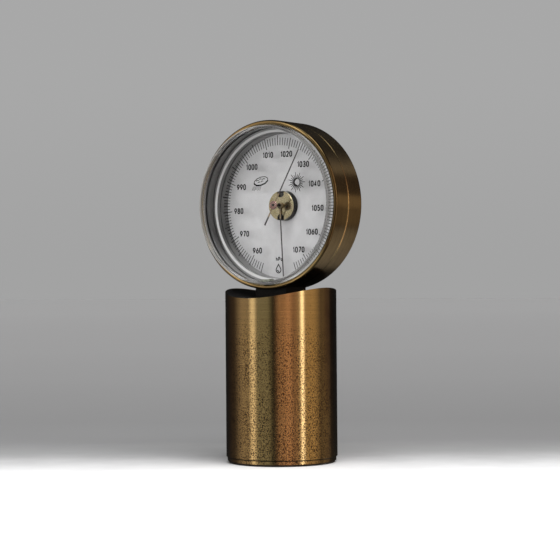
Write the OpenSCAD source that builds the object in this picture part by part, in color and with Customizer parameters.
// Desk aneroid barometer: a drum-shaped instrument held over the hollowed top of a brass column.
// +Z is up, the origin is the centre of the underside, and the dial faces -Y.

/* [Drum] */
// Outer radius of the brass drum
drum_r = 50; // [48:0.5:55]
// Depth of the drum from its front ring to its rear edge
drum_depth = 27; // [26:0.5:28]
// Distance of the drum's rear edge behind the column's axis
drum_rear = 12.5; // [12:0.5:13.5]
// Depth of the joint line between the two shells behind the front ring
joint_depth = 12.7; // [12:0.1:14]
// Wall thickness of the two drum shells
shell_wall = 1.5; // [1.3:0.1:1.6]
// Inner radius of the polished front lip
lip_r = 47.2; // [46.8:0.1:47.4]
// Height of the drum's axis above the table
axis_z = 152.5; // [150:0.1:160]
// How far the clear crystal stands out of the front ring
crystal_proud = 4.1; // [3:0.1:8]
// Outer radius of the crystal
crystal_r = 46.7; // [46:0.1:46.9]
// Thickness of the crystal's side wall
crystal_wall = 1.2; // [1:0.1:2]

/* [Dial] */
// Depth of the printed clear scale behind the front ring
scale_depth = 12.6; // [11:0.1:13]
// Depth of the white backing plate behind the front ring
plate_depth = 20.5; // [19:0.1:21]
// Inner radius of the spacer between scale and backing plate
spacer_r = 43.5; // [42:0.1:44]
// Radius of the movement's boss, which stands through the backing plate
boss_r = 8.8; // [7:0.1:10]
// Depth of the boss's brass face behind the front ring
boss_depth = 15.3; // [15:0.1:16]
// Pressure that the pointer shows, in hectopascals
reading = 1025.9; // [955:0.1:1075]
// Length of the pointer from its axis to its tip
pointer_l = 37.1; // [30:0.1:38]
// Length of the pointer's tail
tail_l = 13.5; // [8:0.1:16]
// Depth of the pointer behind the front ring
pointer_depth = 8.1; // [7:0.1:9]
// Length of the set hand
set_hand_l = 42.4; // [36:0.1:42.6]
// Direction of the set hand, clockwise from the top of the dial
set_hand_angle = 177; // [0:1:359]

/* [Pedestal] */
// Outer radius of the brass column
column_r = 33.1; // [32:0.1:36]
// Wall thickness of the column
column_wall = 2; // [1.5:0.1:3]
// Height of the lowest line of the hollowed top
hollow_z = 97.5; // [90:0.1:98]
// Radius of the hollow, which runs along the drum's axis
hollow_r = 96; // [80:1:120]
// Thickness of the felt pad
felt_t = 0.9; // [0.5:0.1:2]
// Height of the base plate's visible rim
rim_h = 2.5; // [1.5:0.1:4]
// How far that rim is set in from the column
rim_inset = 0.7; // [0.3:0.1:1.5]
// Width of the neck block across the drum
neck_w = 22; // [16:1:26]
// Length of the neck block along the drum's axis
neck_l = 20.5; // [18:0.5:22]

/* [Movement] */
// Teeth on the pointer's pinion
pinion_teeth = 14; // [14:2:18]
// Teeth that a whole wheel of the sector's size would have
wheel_teeth = 126; // [108:2:126]
// Tooth module of the gear pair
tooth_module = 0.3; // [0.28:0.01:0.3]
// Radius of the aneroid capsule
capsule_r = 12.5; // [11:0.5:12.5]
// Outer radius of the rear pan
pan_r = 36; // [35:0.5:37]
// Depth of the rear pan
pan_depth = 12.6; // [12.6:0.1:15]

/* [Hidden] */
$fn = 96;
eps = 0.01;

// Heights in the drum's own frame: z = 0 at its rear edge and z forward, x right and y up as read
ring_h = drum_depth;
crystal_h = ring_h + crystal_proud;
flange_h = ring_h - 2.5;
flange_t = 1.5;
liner_top = flange_h - flange_t;
scale_h = ring_h - scale_depth;
retainer_t = 2.9;
pin_place = [0, -44.7];
pin_r = 0.6;
scale_t = 1;
scale_low = scale_h - scale_t;
plate_h = ring_h - plate_depth;
plate_t = 1;
plate_low = plate_h - plate_t;
rear_wall = 1.5;
pack_r = drum_r - shell_wall - 0.2;
liner_r = 47;
joint_h = ring_h - joint_depth;
joint_gap = 0.2;
lap_h = 1.8;
lap_t = 0.7;
boss_h = ring_h - boss_depth;
boss_cap_t = 1;
pointer_h = ring_h - pointer_depth;
hand_t = 0.3;
set_hand_h = 12.5;

// Movement layout
front_plate_h = 5.2;
front_plate_t = 1.2;
front_plate_low = front_plate_h - front_plate_t;
front_plate_r = 31.5;
bridge_h = -0.4;
bridge_t = 1;
bridge_low = bridge_h - bridge_t;
bridge_w = 5;
pan_wall = 1.2;
pan_flange_r = pan_r + 6.5;
pan_floor = pan_wall - pan_depth;
cover_screw_r = 1;
cover_screw_places = [for (a = [45:90:315]) polar(pan_r + 3.3, a)];
rear_plate_t = 1.2;
rear_plate_low = pan_floor + 0.2;
rear_plate_h = rear_plate_low + rear_plate_t;
rear_plate_r = 33;
pillar_ring_r = 28.5;
pillar_places = [for (a = [90, 210, 330]) pillar_ring_r * [cos(a), sin(a)]];
pillar_r = 2;
peg_r = 1.2;
post_places = [[0, 9], [0, -30]];
post_r = 1.5;
post_peg_r = 0.8;
bridge_foot_y = -32;
bridge_head_y = 11.5;
arbor_r = 0.7;
arbor_pivot_r = 0.45;
bush_r = 1.25;
bush_top = 13.2;
running = 0.05;
pinion_r = pinion_teeth * tooth_module / 2;
wheel_r = wheel_teeth * tooth_module / 2;
sector_y = -(pinion_r + wheel_r);
gear_low = 2.2;
gear_t = 1;
gear_ratio = wheel_teeth / pinion_teeth;
backlash = 0.05;
sector_half = 7;
tail_r = 4.5;
shaft_h = -2.6;
shaft_r = 0.7;
shaft_half = 7.2;
pivot_r = 0.4;
finger_r = 0.45;
finger_l = gear_low + gear_t / 2 - shaft_h;
crank_l = 3;
capsule_y = sector_y + crank_l;
spring_t = 0.5;
spring_w = 8;
spring_l = 49;
spring_foot_y = -32.4;
spring_screw_place = [0, -31];
spring_low = rear_plate_h + 0.15;
capsule_low = spring_low + spring_t;
capsule_h = 4.4;
capsule_well = 1.3;
capsule_peg_r = 1.5;
capsule_hub_r = 5;
calibration_place = [0, 14];
calibration_r = 1.5;
stud_place = [4.5, 3.5];
stud_r = 0.5;
bracket_x = 8;
bracket_foot_y = -28;
bracket_w = 3.5;
boss_screw_y = 6.9;
boss_screw_r = 1;

// Pointing, in degrees clockwise from the top of the dial
degrees_per_unit = 2.7;
scale_middle = 1015;
pointer_angle = (reading - scale_middle) * degrees_per_unit;
sector_angle = -pointer_angle / gear_ratio;
lever_angle = asin(tail_r * sin(sector_angle) / finger_l);

// Pedestal
rim_r = column_r - rim_inset;
column_z = felt_t + rim_h;
bore_r = column_r - column_wall;
cap_wall = 1;
cap_r = column_r - cap_wall - 0.05;
cap_z = 86;
spigot_z = 12;
rod_r = 3;
rod_top = 101.5;
nut_z = 2;
nut_t = 5;
ballast_h = 40;
case_screw_xs = [-5, 5];
case_screw_y = 8.2;
case_screw_r = 1;
felt_inset = 0.9;
nut_pocket_r = 7.5;
rod_play = 0.2;

function polar(r, a) = [r * sin(a), r * cos(a)];
function arc(c, r, a0, a1, n) = [for (i = [0:n], a = a0 + (a1 - a0) * i / n) c + r * [cos(a), sin(a)]];
function involute(a) = tan(a) * 180 / PI - a;
// Half the angle of a tooth at radius rho, on a wheel with pitch radius r and half-thickness half
function tooth_half(r, half, rho) = half + involute(20) - involute(acos(min(1, r * cos(20) / rho)));
// Outline of one tooth centred at angle a, from root to root
function tooth(r, half, a) =
    let (low = r - 1.15 * tooth_module, high = r + 0.8 * tooth_module, start = max(r * cos(20), low + 0.01),
         rhos = [for (i = [0:4]) start + (high - start) * i / 4])
    concat([polar(low, a - tooth_half(r, half, start))],
        [for (rho = rhos) polar(rho, a - tooth_half(r, half, rho))],
        [for (i = [4:-1:0]) polar(rhos[i], a + tooth_half(r, half, rhos[i]))],
        [polar(low, a + tooth_half(r, half, start))]);
// Outline of the teeth from number first to number last, pitch degrees apart
function teeth(r, half, pitch, first, last) =
    [for (i = [first:last], p = tooth(r, half, i * pitch)) p];

// Places children in the drum's own frame
module in_drum() {
    translate([0, drum_rear, axis_z]) rotate([90, 0, 0]) children();
}

// A ring or disc between two heights
module ring(r_out, r_in, z0, z1) {
    translate([0, 0, z0]) difference() {
        cylinder(r = r_out, h = z1 - z0);
        if (r_in > 0) translate([0, 0, -1]) cylinder(r = r_in, h = z1 - z0 + 2);
    }
}

// A round hole to be cut between two heights at p
module hole(p, r, z0, z1) {
    translate([p[0], p[1], z0]) cylinder(r = r, h = z1 - z0);
}

// A slotted screw standing at p with its head's top at z; turn is +1 with the head forward, -1 behind
module slotted_screw(p, z, head_r, head_t, shank_r, length, turn = 1) {
    translate([p[0], p[1], z]) mirror([0, 0, turn > 0 ? 0 : 1]) difference() {
        union() {
            translate([0, 0, -head_t]) cylinder(r = head_r, h = head_t);
            translate([0, 0, -length]) cylinder(r = shank_r, h = length - head_t + eps);
        }
        translate([-head_r - 1, -head_r * 0.16, -head_t * 0.5]) cube([2 * head_r + 2, head_r * 0.32, head_t]);
    }
}

// ---------------------------------------------------------------- pedestal

module foot_pad() {
    color("#2a2724") cylinder(r = rim_r - felt_inset, h = felt_t);
}

module base_plate() {
    color("#8c6d39") difference() {
        union() {
            rotate_extrude() polygon(concat([[0, felt_t], [rim_r - 0.3, felt_t], [rim_r, felt_t + 0.3]],
                [[rim_r, column_z], [0, column_z]]));
            translate([0, 0, felt_t + 0.5]) cylinder(r = bore_r - 0.05, h = spigot_z - felt_t - 0.5);
        }
        translate([0, 0, felt_t - 1]) cylinder(r = nut_pocket_r, h = nut_z + nut_t + 1 - felt_t + 1);
        cylinder(r = rod_r + rod_play, h = spigot_z + 1);
    }
}

module tie_nut() {
    color("#9a9a98") difference() {
        translate([0, 0, nut_z]) cylinder(r = 5.77, h = nut_t, $fn = 6);
        cylinder(r = rod_r, h = nut_z + nut_t + 1);
    }
}

module tie_washer() {
    color("#a8a8a5") ring(6.2, rod_r + rod_play, nut_z + nut_t, nut_z + nut_t + 1);
}

module tie_rod() {
    color("#8f8f8d") translate([0, 0, nut_z - 0.3]) cylinder(r = rod_r, h = rod_top - nut_z + 0.3);
}

module ballast() {
    color("#3b3b3d") ring(bore_r - 0.2, rod_r + 0.6, spigot_z, spigot_z + ballast_h);
}

// The hollow that the drum sits over, cut through whatever it meets
module hollow() {
    translate([0, -60, hollow_z + hollow_r]) rotate([-90, 0, 0]) cylinder(r = hollow_r, h = 120, $fn = 192);
}

module column_tube() {
    color("#a27a3f") difference() {
        rotate_extrude() polygon([[bore_r, column_z], [column_r - 0.4, column_z], [column_r, column_z + 0.4],
            [column_r, axis_z], [column_r - cap_wall, axis_z], [column_r - cap_wall, cap_z], [bore_r, cap_z]]);
        hollow();
    }
}

module saddle_cap() {
    relief_r = 24;
    relief_t = 4;
    color("#161616") difference() {
        translate([0, 0, cap_z]) cylinder(r = cap_r, h = 30);
        hollow();
        translate([0, 0, cap_z - 1]) cylinder(r = rod_r + rod_play, h = 40);
        translate([0, 0, cap_z - 1]) cylinder(r = relief_r, h = relief_t + 1);
    }
}

module neck_block() {
    head_hole_r = 1.8;
    head_hole_z = hollow_z + 2.2;
    color("#141414") difference() {
        intersection() {
            translate([-neck_w / 2, -neck_l / 2, hollow_z - 2]) cube([neck_w, neck_l, 12]);
            hollow();
        }
        in_drum() translate([0, 0, -20]) cylinder(r = drum_r, h = 80);
        translate([0, 0, hollow_z - 5]) cylinder(r = rod_r, h = rod_top - hollow_z + 5);
        for (x = case_screw_xs) translate([x, case_screw_y, hollow_z - 3]) {
            cylinder(r = case_screw_r + 0.1, h = 15);
            cylinder(r = head_hole_r, h = head_hole_z - hollow_z + 3);
        }
    }
}

// Two screws up through the neck block and the case wall into the clamp ring
module case_screws() {
    color("#555555") for (x = case_screw_xs)
        slotted_screw([x, case_screw_y], hollow_z + 0.6, 1.6, 1.6, case_screw_r, 8, -1);
}

// ---------------------------------------------------------------- drum

module bezel_shell() {
    bead_r = (drum_r - lip_r) / 2;
    bead_rise = 1.2;
    low = joint_h + joint_gap / 2;
    steps = 16;
    bead = [for (i = [0:steps], a = 180 * i / steps)
        [lip_r + bead_r + bead_r * cos(a), ring_h - bead_rise + bead_rise * sin(a)]];
    color("#8a6a38") in_drum() rotate_extrude() polygon(concat(
        [[drum_r - 0.25, low], [drum_r, low + 0.25]], bead,
        [[lip_r, flange_h], [pack_r + 0.05, flange_h], [pack_r + 0.05, low + lap_h],
         [pack_r + 0.05 + lap_t, low + lap_h], [pack_r + 0.05 + lap_t, low]]));
}

module case_shell() {
    high = joint_h - joint_gap / 2;
    lap_top = high + joint_gap + lap_h - 0.1;
    color("#7d6034") difference() {
        in_drum() difference() {
            rotate_extrude() polygon(concat([[pan_r - 2, 0]], arc([drum_r - 1, 1], 1, -90, 0, 8),
                [[drum_r, high - 0.25], [drum_r - 0.25, high], [pack_r + lap_t, high], [pack_r + lap_t, lap_top],
                 [pack_r + 0.05, lap_top], [pack_r + 0.05, rear_wall], [pan_r - 2, rear_wall]]));
            for (p = cover_screw_places) hole(p, cover_screw_r, -1, rear_wall + 1);
        }
        for (x = case_screw_xs) translate([x, case_screw_y, axis_z - drum_r - 1])
            cylinder(r = case_screw_r + 0.1, h = 5);
    }
}

module crystal() {
    edge = 0.5;
    front_t = 1.5;
    inner = crystal_r - crystal_wall;
    color("#dfe8ea", 0.35) in_drum() rotate_extrude() polygon(concat(
        [[0, crystal_h - front_t], [inner - 0.6, crystal_h - front_t], [inner, crystal_h - front_t - 0.6]],
        [[inner, flange_h - flange_t], [pack_r, flange_h - flange_t], [pack_r, flange_h], [crystal_r, flange_h]],
        arc([crystal_r - edge, crystal_h - edge], edge, 0, 90, 8), [[0, crystal_h]]));
}

// Small moulded latch at the foot of the crystal
module crystal_latch() {
    width = 6.6;
    thick = 1.5;
    color("#9aa093") in_drum() intersection() {
        ring(crystal_r - crystal_wall - eps, crystal_r - crystal_wall - thick, liner_top + 0.5, ring_h + 1.5);
        translate([-width / 2, -60, 0]) cube([width, 60, 60]);
    }
}

module bezel_liner() {
    color("#5a5b5c") in_drum() ring(pack_r, liner_r, scale_h, liner_top);
}

// Light ledge that holds the clear scale down, with a narrow gap to the liner round it
module scale_retainer() {
    color("#b9bbbc") in_drum() difference() {
        ring(liner_r - 0.4, spacer_r, scale_h, scale_h + retainer_t);
        hole(pin_place, pin_r + running, scale_h - 1, scale_h + retainer_t + 1);
    }
}

module scale_disc() {
    color("#e6eef0", 0.3) in_drum() difference() {
        ring(pack_r, 2, scale_low, scale_h);
        hole(pin_place, pin_r + running, scale_low - 1, scale_h + 1);
    }
}

module dial_pin() {
    color("#303030") in_drum() hole(pin_place, pin_r, plate_h + 1, scale_h + retainer_t + 0.2);
}

module spacer_ring() {
    color("#8f9092") in_drum() difference() {
        ring(pack_r, spacer_r, plate_h, scale_low);
        hole(pin_place, pin_r, plate_h + 1, scale_low + 1);
    }
}

module backing_plate() {
    color("#e8e8e4") in_drum() ring(pack_r, boss_r + 0.1, plate_low, plate_h);
}

module clamp_ring() {
    color("#8b8b89") difference() {
        in_drum() ring(pack_r, 44, rear_wall, plate_low);
        for (x = case_screw_xs) translate([x, case_screw_y, axis_z - drum_r - 1])
            cylinder(r = case_screw_r, h = 5);
    }
}

module rear_cover() {
    vent_pitch = 4;
    vent_y = 23;
    vent_r = 0.7;
    color("#7d6034") in_drum() difference() {
        rotate_extrude() polygon(concat([[0, -pan_depth]], arc([pan_r - 1.5, 1.5 - pan_depth], 1.5, -90, 0, 8),
            [[pan_r, -pan_wall], [pan_flange_r, -pan_wall], [pan_flange_r, 0], [pan_r - pan_wall, 0],
             [pan_r - pan_wall, pan_floor], [0, pan_floor]]));
        for (p = cover_screw_places) hole(p, cover_screw_r + 0.2, -pan_wall - 1, 1);
        for (p = pillar_places) hole(p, peg_r + 0.1, -pan_depth - 1, pan_floor + 1);
        hole(calibration_place, 2.5, -pan_depth - 1, pan_floor + 1);
        for (i = [-2:2]) hole([vent_pitch * i, vent_y], vent_r, -pan_depth - 1, pan_floor + 1);
    }
}

module rear_cover_screws() {
    color("#b09a6a") in_drum() for (p = cover_screw_places)
        slotted_screw(p, -pan_wall - 1, 2, 1, cover_screw_r, 3.6, -1);
}

// ---------------------------------------------------------------- movement frame

module movement_plate() {
    color("#b3a06a") in_drum() difference() {
        ring(rear_plate_r, 0, rear_plate_low, rear_plate_h);
        for (p = pillar_places) hole(p, peg_r + 0.1, rear_plate_low - 1, rear_plate_h + 1);
        hole(calibration_place, calibration_r + running, rear_plate_low - 1, rear_plate_h + 1);
        hole([0, capsule_y], 2, rear_plate_low - 1, rear_plate_h + 1);
        hole(spring_screw_place, post_peg_r, rear_plate_low - 1, rear_plate_h + 1);
    }
}

module movement_pillars() {
    color("#b8a36b") in_drum() for (p = pillar_places) difference() {
        union() {
            hole(p, pillar_r, rear_plate_h, front_plate_low);
            hole(p, peg_r, front_plate_low - eps, front_plate_h);
        }
        hole(p, peg_r, rear_plate_h - 1, rear_plate_h + 5);
    }
}

module pillar_screws() {
    color("#b09a6a") in_drum() for (p = pillar_places)
        slotted_screw(p, -pan_depth - 1, 2.5, 1, peg_r, 6.5, -1);
}

module front_plate() {
    color("#b3a06a") in_drum() difference() {
        ring(front_plate_r, 0, front_plate_low, front_plate_h);
        for (p = pillar_places) hole(p, peg_r, front_plate_low - 1, front_plate_h + 1);
        for (p = post_places) hole(p, post_peg_r, front_plate_low - 1, front_plate_h + 1);
        for (y = [-boss_screw_y, boss_screw_y])
            hole([0, y], boss_screw_r, front_plate_low - 1, front_plate_h + 1);
        hole([0, 0], bush_r, front_plate_low - 1, front_plate_h + 1);
        hole([0, sector_y], pivot_r + running, front_plate_low - 1, front_plate_h + 1);
        hole(stud_place, stud_r, front_plate_low - 1, front_plate_h + 1);
    }
}

module boss_sleeve() {
    bore = 4.5;
    color("#181818") in_drum() difference() {
        ring(boss_r, bore, front_plate_h, boss_h - boss_cap_t);
        for (y = [-boss_screw_y, boss_screw_y]) hole([0, y], boss_screw_r, front_plate_h - 1, boss_h);
    }
}

module boss_cap() {
    notch_y = 7.3;
    notch_r = 2.4;
    color("#c7a863") in_drum() difference() {
        rotate_extrude() polygon([[bush_r, boss_h - boss_cap_t], [boss_r, boss_h - boss_cap_t],
            [boss_r, boss_h - 0.2], [boss_r - 0.2, boss_h], [bush_r, boss_h]]);
        for (y = [-notch_y, notch_y]) hole([0, y], notch_r, boss_h - boss_cap_t - 1, boss_h + 1);
    }
}

module boss_screws() {
    head_t = 0.8;
    top = boss_h - boss_cap_t + head_t;
    color("#3a3936") in_drum() for (y = [-boss_screw_y, boss_screw_y])
        slotted_screw([0, y], top, 1.8, head_t, boss_screw_r, top - front_plate_low);
}

module arbor_bush() {
    color("#4a3d33") in_drum() ring(bush_r, arbor_r + running, front_plate_low, bush_top);
}

module arbor_bridge() {
    color("#b3a06a") in_drum() difference() {
        union() {
            translate([-bridge_w / 2, bridge_foot_y, bridge_low])
                cube([bridge_w, bridge_head_y - bridge_foot_y, bridge_t]);
            translate([-bracket_x - 0.5, bracket_foot_y, bridge_low])
                cube([2 * bracket_x + 1, bracket_w, bridge_t]);
        }
        for (p = post_places) hole(p, post_peg_r, bridge_low - 1, bridge_h + 1);
        hole([0, 0], arbor_pivot_r + running, bridge_low - 1, bridge_h + 1);
        hole([0, sector_y], pivot_r + running, bridge_low - 1, bridge_h + 1);
    }
}

module bridge_posts() {
    color("#b8a36b") in_drum() for (p = post_places) difference() {
        union() {
            hole(p, post_r, bridge_h, front_plate_low);
            hole(p, post_peg_r, front_plate_low - eps, front_plate_h);
        }
        hole(p, post_peg_r, bridge_h - 1, bridge_h + 2.4);
    }
}

module bridge_screws() {
    head_t = 0.7;
    color("#8d8d8a") in_drum() for (p = post_places)
        slotted_screw(p, bridge_low - head_t, post_r, head_t, post_peg_r, 3.6, -1);
}

// Two ears that carry the rocking lever's shaft, on a strip under the bridge
module lever_bracket() {
    ear_t = 1;
    ear_l = 8.8;
    strip_t = 0.8;
    color("#a9a9a5") in_drum() difference() {
        union() {
            translate([-bracket_x - ear_t / 2, bracket_foot_y, bridge_low - strip_t])
                cube([2 * bracket_x + ear_t, bracket_w, strip_t]);
            for (x = [-bracket_x, bracket_x]) translate([x - ear_t / 2, bracket_foot_y, shaft_h - 1.4])
                cube([ear_t, ear_l, bridge_low - shaft_h + 1.4]);
        }
        translate([-bracket_x - 1, sector_y, shaft_h]) rotate([0, 90, 0])
            cylinder(r = pivot_r + running, h = 2 * bracket_x + 2);
    }
}

// Leaf that carries the capsule, held at one end and lifted by the calibration screw at the other
module capsule_spring() {
    color("#8f949a") in_drum() difference() {
        translate([-spring_w / 2, spring_foot_y, spring_low]) cube([spring_w, spring_l, spring_t]);
        hole(spring_screw_place, post_peg_r, spring_low - 1, spring_low + 2);
        hole([0, capsule_y], capsule_peg_r, spring_low - 1, spring_low + 2);
    }
}

module spring_screws() {
    color("#8d8d8a") in_drum()
        slotted_screw(spring_screw_place, capsule_low + 0.6, 1.3, 0.6, post_peg_r, 2.2);
}

// Sealed metal capsule with ring corrugations in both faces and a well for its front stud
module aneroid_capsule() {
    steps = 60;
    crest = 0.35;
    waves = 4;
    middle = capsule_h / 2;
    rim_t = 0.8;
    well_r = 4.4;
    function dish(r) = r > capsule_r - 1.5 ? rim_t / 2
        : middle - crest + crest * cos(360 * waves * (r - capsule_hub_r) / (capsule_r - capsule_hub_r - 1.5));
    rs = [for (i = [0:steps]) capsule_hub_r + (capsule_r - capsule_hub_r) * i / steps];
    color("#b9a777") in_drum() translate([0, capsule_y, capsule_low]) {
        difference() {
            rotate_extrude() polygon(concat([[0, 0.2], [capsule_hub_r, 0.2]],
                [for (i = [1:steps]) [rs[i], middle - dish(rs[i])]],
                [for (i = [steps:-1:1]) [rs[i], middle + dish(rs[i])]],
                [[capsule_hub_r, capsule_h], [0, capsule_h]]));
            translate([0, 0, capsule_h - capsule_well]) cylinder(r = well_r, h = 3);
        }
        cylinder(r = 3, h = 0.3);
        translate([0, 0, -spring_t - 1]) cylinder(r = capsule_peg_r, h = spring_t + 1.1);
    }
}

// Flat spiral round the arbor, from its collet to the fixed stud
module hairspring() {
    turns = 4;
    r0 = 1.45;
    wide = 0.14;
    tall = 0.6;
    r1 = norm(stud_place) - stud_r - wide / 2 - 0.02;
    n = 96;
    end = atan2(stud_place[0], stud_place[1]);
    function at(i, side) = polar(r0 + (r1 - r0) * i / n + side * wide / 2, end - turns * 360 * (1 - i / n));
    color("#c9c7bd") in_drum() translate([0, 0, 0.5]) linear_extrude(tall)
        polygon(concat([for (i = [0:n]) at(i, 1)], [for (i = [n:-1:0]) at(i, -1)]));
}

module hairspring_stud() {
    color("#b8a36b") in_drum() hole(stud_place, stud_r, 0.3, front_plate_h);
}

// ---------------------------------------------------------------- moving pieces

module pointer_arbor() {
    half = 90 / pinion_teeth - backlash / 2 / pinion_r * 180 / PI;
    color("#4c4743") in_drum() {
        hole([0, 0], arbor_pivot_r, bridge_low + 0.1, 0.3);
        hole([0, 0], arbor_r, 0.2, pointer_h + 1.2);
        hole([0, 0], 1.3, 0.2, 1.4);
        translate([0, 0, gear_low]) rotate([0, 0, -pointer_angle - 180 / pinion_teeth])
            linear_extrude(gear_t) polygon(teeth(pinion_r, half, 360 / pinion_teeth, 0, pinion_teeth - 1));
    }
}

module pointer_collet() {
    color("#a07a70") in_drum() difference() {
        rotate_extrude() polygon([[0, pointer_h - 1.1], [1.6, pointer_h - 1.1], [1.6, pointer_h + 0.15],
            [2.6, pointer_h + 0.15], [2.6, pointer_h + 0.55], [2.3, pointer_h + 0.8], [0, pointer_h + 0.8]]);
        hole([0, 0], arbor_r, 0, ring_h);
    }
}

module pointer() {
    color("#4b4a49") in_drum() translate([0, 0, pointer_h - hand_t / 2]) rotate([0, 0, -pointer_angle])
        difference() {
            linear_extrude(hand_t) union() {
                polygon([[-0.5, -tail_l], [0.5, -tail_l], [0.42, 0],
                    [0.3, pointer_l], [-0.3, pointer_l], [-0.42, 0]]);
                circle(r = 2.4);
            }
            translate([0, 0, -1]) cylinder(r = 1.6, h = 3);
        }
}

module set_hand() {
    color("#4b4a49") in_drum() rotate([0, 0, -set_hand_angle]) {
        difference() {
            union() {
                translate([0, 0, set_hand_h - hand_t / 2]) linear_extrude(hand_t)
                    polygon([[-0.42, 1], [0.42, 1], [0.32, set_hand_l], [-0.32, set_hand_l]]);
                hole([0, 0], 1.8, set_hand_h - 0.5, set_hand_h + 0.5);
            }
            hole([0, 0], bush_r + running, 0, ring_h);
        }
    }
}

// Toothed sector with a window in it and a forked tail that the lever's finger moves
module sector_gear() {
    half = 90 / wheel_teeth - backlash / 2 / wheel_r * 180 / PI;
    pitch = 360 / wheel_teeth;
    root = wheel_r - 1.15 * tooth_module;
    rim = root - 1.8;
    edge = (sector_half + 0.5) * pitch;
    window = edge - 5;
    hub_r = 2.4;
    tail_w = 3.2;
    finger_play = 0.35;
    color("#c2ad70") in_drum() translate([0, sector_y, gear_low]) rotate([0, 0, -sector_angle])
        difference() {
            union() {
                linear_extrude(gear_t) difference() {
                    polygon(concat([[-1.2, 0], polar(root, -edge)],
                        teeth(wheel_r, half, pitch, -sector_half, sector_half), [polar(root, edge), [1.2, 0]]));
                    polygon(concat([polar(5.5, 0)], [for (i = [-4:4]) polar(rim, i * window / 4)]));
                }
                translate([0, 0, -0.1]) cylinder(r = hub_r, h = gear_t + 0.2);
                translate([0, -tail_w / 2, 0]) cube([tail_r + 1.5, tail_w, gear_t]);
            }
            translate([tail_r - 1.1, -finger_r - finger_play, -1]) cube([4, 2 * (finger_r + finger_play), 4]);
            translate([0, 0, -1]) cylinder(r = 0.8, h = 4);
        }
}

module sector_arbor() {
    color("#8a8a88") in_drum() {
        hole([0, sector_y], pivot_r, bridge_low + 0.1, front_plate_h - 0.1);
        hole([0, sector_y], 0.8, bridge_h + 0.2, front_plate_low - 0.15);
    }
}

// Cross shaft with a finger forward to the sector's tail and a crank to the capsule's stud
module rocking_lever() {
    crank_w = 1.6;
    crank_t = 0.5;
    color("#9b9b98") in_drum() translate([0, sector_y, shaft_h]) rotate([lever_angle, 0, 0]) {
        rotate([0, 90, 0]) {
            translate([0, 0, -shaft_half]) cylinder(r = shaft_r, h = 2 * shaft_half);
            translate([0, 0, -bracket_x - 0.3]) cylinder(r = pivot_r, h = 2 * bracket_x + 0.6);
        }
        translate([tail_r, 0, 0]) cylinder(r = finger_r, h = finger_l + 0.8);
        translate([-crank_w / 2, 0, -crank_t]) cube([crank_w, crank_l + 1, crank_t]);
    }
}

module capsule_stud() {
    stud_low = capsule_low + capsule_h - capsule_well + 0.8;
    color("#a99a6f") in_drum() {
        hole([0, capsule_y], 4, stud_low, stud_low + 0.6);
        hole([0, capsule_y], 0.7, stud_low + 0.5, shaft_h - 1);
    }
}

module calibration_screw() {
    sunk = 0.25;
    color("#c9b277") in_drum()
        slotted_screw(calibration_place, -pan_depth + sunk, 2.2, 0.8, calibration_r,
            pan_depth - sunk + spring_low - 0.05, -1);
}

foot_pad();
base_plate();
tie_nut();
tie_washer();
tie_rod();
ballast();
column_tube();
saddle_cap();
neck_block();
case_screws();
bezel_shell();
case_shell();
crystal();
crystal_latch();
bezel_liner();
scale_retainer();
scale_disc();
dial_pin();
spacer_ring();
backing_plate();
clamp_ring();
rear_cover();
rear_cover_screws();
movement_plate();
movement_pillars();
pillar_screws();
front_plate();
boss_sleeve();
boss_cap();
boss_screws();
arbor_bush();
arbor_bridge();
bridge_posts();
bridge_screws();
lever_bracket();
capsule_spring();
spring_screws();
aneroid_capsule();
hairspring();
hairspring_stud();
pointer_arbor();
pointer_collet();
pointer();
set_hand();
sector_gear();
sector_arbor();
rocking_lever();
capsule_stud();
calibration_screw();
